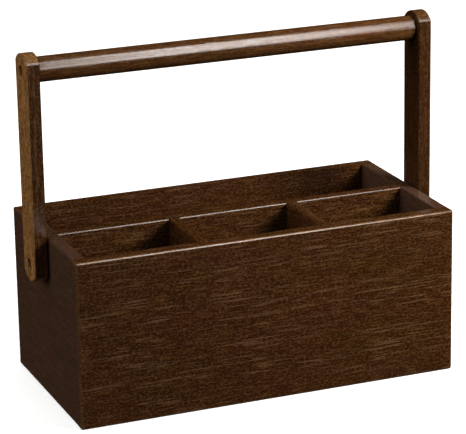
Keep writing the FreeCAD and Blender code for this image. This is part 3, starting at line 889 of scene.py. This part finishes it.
class OrganizerArms(bpy.types.Operator):
    """Make the two arms with their screw recesses"""

    bl_idname = "organizer.arms"
    bl_label = "Handle Arms"

    def execute(self, context):
        face = stained_wood("arm_face_wood", "Z", pale_colours(), GRAIN_START["arm_face"],
                            roughness=0.3, contrast=1.25)
        for name, side in SIDES:
            node = name + "_arm"
            wear = ARM_WEAR_AND_PAINTED_LIGHT[side]
            # The right arm's stain is deepened more than the left's, as painted shade.
            wood = stained_wood(node + "_wood", "Z", stain_colours(depth=wear["depth"]),
                                GRAIN_START["arm"] + side, contrast=0.75)
            end = stained_wood(node + "_end_wood", "Z", wear_and_painted_light_colours(wear["end"]),
                               GRAIN_START["arm_end"] + side, RUBBED)
            # The edges are lightened as rubbed wear and as painted highlight, the left arm's far
            # more.
            edge = stained_wood(node + "_edge_wood", "Z", wear_and_painted_light_colours(wear["edge"]),
                                GRAIN_START["arm_edge"] + side, RUBBED, contrast=0.7)
            low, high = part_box(node)
            piece = new_piece(node + "_bar",
                              lambda builder: bar_mesh(builder, low, high, side),
                              "handle", "handle_wood", [wood, face, end, edge], node)
            half = (high.y - low.y) / 2
            outer = outer_first(low.x, high.x, side)[0]
            for height in (low.z + half, high.z - half):
                cut_recess(piece, (outer, (low.y + high.y) / 2, height), side)
            soften(piece)
        return {"FINISHED"}


def rod_mesh(builder, low, high):
    """A round rod along X with rounded ends."""
    joinery = bpy.context.scene.organizer_joinery
    radius = (high.z - low.z) / 2
    result = bmesh.ops.create_cone(builder, cap_ends=True, segments=joinery.turned_segments,
                                   radius1=radius, radius2=radius, depth=high.x - low.x)
    bmesh.ops.rotate(builder, verts=result["verts"], cent=(0, 0, 0),
                     matrix=Matrix.Rotation(math.pi / 2, 3, "Y"))
    bmesh.ops.translate(builder, verts=result["verts"], vec=(low + high) / 2)
    rims = [edge for edge in builder.edges
            if close_to(edge.verts[0].co.x, edge.verts[1].co.x)]
    bevel_edges(builder, rims, joinery.grip_round, joinery.edge_segments)


class OrganizerGripRod(bpy.types.Operator):
    """Make the round rod between the arms"""

    bl_idname = "organizer.grip_rod"
    bl_label = "Grip Rod"

    def execute(self, context):
        # The rod's wood is lightened, partly as rubbed wear and partly as painted light on the
        # handle.
        wood = stained_wood("grip_rod_wood", "X", wear_and_painted_light_colours(ROD_WEAR_AND_PAINTED_LIGHT),
                            GRAIN_START["grip_rod"], roughness=0.2, contrast=0.7)
        low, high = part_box("grip_rod")
        piece = new_piece("grip_rod_turned", lambda builder: rod_mesh(builder, low, high),
                          "handle", "handle_wood", [wood], "grip_rod")
        soften(piece)
        return {"FINISHED"}


def screw_mesh(builder, low, high, side):
    """A cylinder-headed screw along X with a hexagon socket in its head."""
    joinery = bpy.context.scene.organizer_joinery
    head_radius = (high.z - low.z) / 2
    shank = joinery.screw_shank
    height = joinery.screw_head_height
    length = high.x - low.x
    ease = head_radius * 0.13
    socket = joinery.hex_key / math.sqrt(3)
    top = outer_first(low.x, high.x, side)[0]
    profile = [(0.0, head_radius - ease), (-ease * 0.3, head_radius - ease * 0.3),
               (-ease, head_radius), (-height, head_radius), (-height, shank),
               (-length + shank * 1.7, shank), (-length, 0.0)]
    turn_profile(builder, [(side * x, y) for x, y in profile])
    bmesh.ops.remove_doubles(builder, verts=builder.verts, dist=MERGE_WITHIN)
    rim = [edge for edge in builder.edges
           if close_to(edge.verts[0].co.x, 0.0) and close_to(edge.verts[1].co.x, 0.0)]
    result = bmesh.ops.create_circle(builder, cap_ends=False, segments=6, radius=socket)
    bmesh.ops.rotate(builder, verts=result["verts"], cent=(0, 0, 0),
                     matrix=Matrix.Rotation(math.pi / 2, 3, "Y"))
    mouth = [edge for edge in builder.edges
             if all(vert in result["verts"] for vert in edge.verts)]
    bmesh.ops.triangle_fill(builder, edges=rim + mouth, use_beauty=True)
    walls = bmesh.ops.extrude_edge_only(builder, edges=mouth)["geom"]
    deep = [item for item in walls if isinstance(item, bmesh.types.BMVert)]
    bmesh.ops.translate(builder, verts=deep, vec=(-side * joinery.hex_depth, 0, 0))
    floor = [item for item in walls if isinstance(item, bmesh.types.BMEdge)]
    bmesh.ops.contextual_create(builder, geom=floor)
    bmesh.ops.translate(builder, verts=builder.verts,
                        vec=(top, (low.y + high.y) / 2, (low.z + high.z) / 2))


class OrganizerScrews(bpy.types.Operator):
    """Make the pivot screws and the grip screws"""

    bl_idname = "organizer.screws"
    bl_label = "Handle Screws"

    def execute(self, context):
        finish = context.scene.organizer_finish
        metal = turned_metal("browned_steel", tuple(finish.brown_steel), roughness=0.35,
                             scratches=0.2, metallic=0.35)
        for name, side in SIDES:
            for kind, body in (("pivot", "box"), ("grip", "handle")):
                node = f"{name}_{kind}_screw"
                low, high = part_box(node)
                piece = new_piece(node + "_turned",
                                  lambda builder: screw_mesh(builder, low, high, side),
                                  body, "screw_steel", [metal], node)
                soften(piece, math.radians(30))
        return {"FINISHED"}


def washer_mesh(builder, low, high):
    """A flat ring about X with slightly rounded rims."""
    outer = (high.z - low.z) / 2
    inner = bpy.context.scene.organizer_joinery.washer_hole
    thickness = high.x - low.x
    ease = thickness * 0.22
    profile = [(0, inner + ease), (0, outer - ease), (ease, outer), (thickness - ease, outer),
               (thickness, outer - ease), (thickness, inner + ease), (thickness - ease, inner),
               (ease, inner)]
    turn_profile(builder, profile, closed=True)
    bmesh.ops.translate(builder, verts=builder.verts,
                        vec=(low.x, (low.y + high.y) / 2, (low.z + high.z) / 2))


class OrganizerWashers(bpy.types.Operator):
    """Make the washers between the arms and the box"""

    bl_idname = "organizer.washers"
    bl_label = "Pivot Washers"

    def execute(self, context):
        finish = context.scene.organizer_finish
        brass = turned_metal("washer_brass", tuple(finish.washer_brass), roughness=0.3,
                             scratches=0.2, wear=0.6)
        for name, side in SIDES:
            node = name + "_pivot_washer"
            low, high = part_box(node)
            piece = new_piece(node + "_ring", lambda builder: washer_mesh(builder, low, high),
                              "box", "washer_brass", [brass], node)
            soften(piece, math.radians(50))
        return {"FINISHED"}


# --------------------------------------------------------------------------- the stage

def aim(lamp, direction, along=(0, 0, 1)):
    """Let a lamp's light come from a direction, with its long side along another."""
    back = Vector(direction).normalized()
    across = Vector(along).cross(back).normalized()
    lamp.rotation_mode = "QUATERNION"
    turn = Matrix((across, back.cross(across), back)).transposed()
    lamp.rotation_quaternion = turn.to_quaternion()
    bpy.context.scene.collection.objects.link(lamp)


def add_sun(name, direction, strength, spread):
    """A distant soft light from a direction, as wide as its spread."""
    light = bpy.data.lights.new(name, "SUN")
    light.energy = strength
    light.angle = spread
    lamp = bpy.data.objects.new(name, light)
    aim(lamp, direction)
    return lamp


def add_softbox(name, centre, direction, distance, size, radiance, along=(0, 0, 1)):
    """A flat glowing panel that faces a point from a direction."""
    light = bpy.data.lights.new(name, "AREA")
    light.shape = "RECTANGLE"
    light.size, light.size_y = size
    light.energy = radiance * math.pi * size[0] * size[1]
    lamp = bpy.data.objects.new(name, light)
    lamp.location = Vector(centre) + Vector(direction).normalized() * distance
    aim(lamp, direction, along)
    return lamp


def make_floor(colour):
    """A wide pale floor."""
    builder = bmesh.new()
    bmesh.ops.create_grid(builder, x_segments=1, y_segments=1, size=30.0)
    floor = placed_object("pale_floor", builder)
    material = bpy.data.materials.new("pale_floor")
    material.use_nodes = True
    surface = material.node_tree.nodes["Principled BSDF"]
    surface.inputs["Base Color"].default_value = (*colour, 1.0)
    surface.inputs["Roughness"].default_value = 0.9
    surface.inputs["Specular IOR Level"].default_value = 0.1
    surface.inputs["Emission Color"].default_value = (*colour, 1.0)
    surface.inputs["Emission Strength"].default_value = 0.6
    floor.data.materials.append(material)
    floor.location.z = -0.0002    # just under the box's feet, so that the two don't flicker
    floor.visible_glossy = False
    floor.visible_diffuse = False


def make_camera(settings):
    """Aim the camera at its target from its azimuth and elevation."""
    camera = bpy.data.objects.new("camera", bpy.data.cameras.new("camera"))
    camera.data.lens = settings.lens
    camera.data.sensor_width = 36.0
    camera.data.clip_start = 0.01
    camera.data.clip_end = 100.0
    level = math.cos(settings.elevation)
    back = Vector((math.sin(settings.azimuth) * level, -math.cos(settings.azimuth) * level,
                   math.sin(settings.elevation)))
    turn = back.to_track_quat("Z", "Y") @ Quaternion((0, 0, 1), settings.roll)
    camera.rotation_mode = "QUATERNION"
    camera.rotation_quaternion = turn
    camera.location = Vector(settings.target) + back * settings.distance
    bpy.context.scene.collection.objects.link(camera)
    bpy.context.scene.camera = camera


def make_lights(middle):
    """A strip for the highlights, and soft lights that model the faces."""
    strip = add_softbox("strip_light", middle, direction=(0.353, -0.695, 0.626), distance=2.2,
                        size=(0.4, 2.6), radiance=18.5, along=(0, 0.669, 0.743))
    strip.visible_diffuse = False
    side = add_softbox("side_light", middle, direction=(0.64, -0.60, 0.50), distance=0.72,
                       size=(0.25, 0.25), radiance=46.0)
    add_sun("left_light", (-0.93, 0.05, 0.36), strength=1.9, spread=math.radians(40))
    top = add_sun("top_light", (0.0, 0.1, 0.99), strength=1.3, spread=math.radians(60))
    back = add_sun("back_light", (0.45, 0.88, 0.12), strength=1.0, spread=math.radians(40))
    for lamp in (side, top, back):
        lamp.visible_glossy = False


def make_world(scene, strength):
    """Even white light from all round that leaves no highlight."""
    world = bpy.data.worlds.new("even_sky")
    world.use_nodes = True
    background = world.node_tree.nodes["Background"]
    background.inputs["Color"].default_value = (1.0, 1.0, 1.0, 1.0)
    background.inputs["Strength"].default_value = strength
    scene.world = world
    world.cycles_visibility.glossy = False


class OrganizerStageSet(bpy.types.Operator):
    """Set up the camera, the floor and the lights"""

    bl_idname = "organizer.stage"
    bl_label = "Stage"

    def execute(self, context):
        settings = context.scene.organizer_stage
        make_camera(settings)
        make_floor(tuple(settings.floor))
        make_lights(settings.target)
        make_world(context.scene, settings.world_strength)
        context.scene.view_settings.view_transform = "Standard"
        return {"FINISHED"}


# --------------------------------------------------------------------- registration

BUILD_STEPS = (
    OrganizerStageSet,
    OrganizerFrontPanel,
    OrganizerBackPanel,
    OrganizerEndPanels,
    OrganizerBottomPanel,
    OrganizerLongDivider,
    OrganizerCrossDividers,
    OrganizerHiddenPins,
    OrganizerArms,
    OrganizerGripRod,
    OrganizerScrews,
    OrganizerWashers,
)


class OrganizerPanel(bpy.types.Panel):
    """Lists the pieces of the desk organizer"""

    bl_idname = "VIEW3D_PT_organizer"
    bl_label = "Desk Organizer"
    bl_space_type = "VIEW_3D"
    bl_region_type = "UI"
    bl_category = "Organizer"

    def draw(self, context):
        layout = self.layout
        for step in BUILD_STEPS:
            layout.operator(step.bl_idname)
        for group in ("organizer_joinery", "organizer_finish", "organizer_stage"):
            settings = getattr(context.scene, group)
            box = layout.box()
            for name in settings.bl_rna.properties.keys():
                if name not in ("rna_type", "name"):
                    box.prop(settings, name)


SETTINGS = (
    ("organizer_joinery", OrganizerJoinery),
    ("organizer_finish", OrganizerFinish),
    ("organizer_stage", OrganizerStage),
)


def register():
    """Register the settings, the operators and the panel."""
    for name, group in SETTINGS:
        bpy.utils.register_class(group)
        setattr(bpy.types.Scene, name, PointerProperty(type=group))
    for step in BUILD_STEPS:
        bpy.utils.register_class(step)
    bpy.utils.register_class(OrganizerPanel)


def unregister():
    """Take the panel, the operators and the settings away again."""
    bpy.utils.unregister_class(OrganizerPanel)
    for step in reversed(BUILD_STEPS):
        bpy.utils.unregister_class(step)
    for name, group in reversed(SETTINGS):
        delattr(bpy.types.Scene, name)
        bpy.utils.unregister_class(group)


def main():
    """Register the add-on and build every piece in order."""
    register()
    for step in BUILD_STEPS:
        family, name = step.bl_idname.split(".")
        getattr(getattr(bpy.ops, family), name)()


if __name__ == "__main__":
    main()
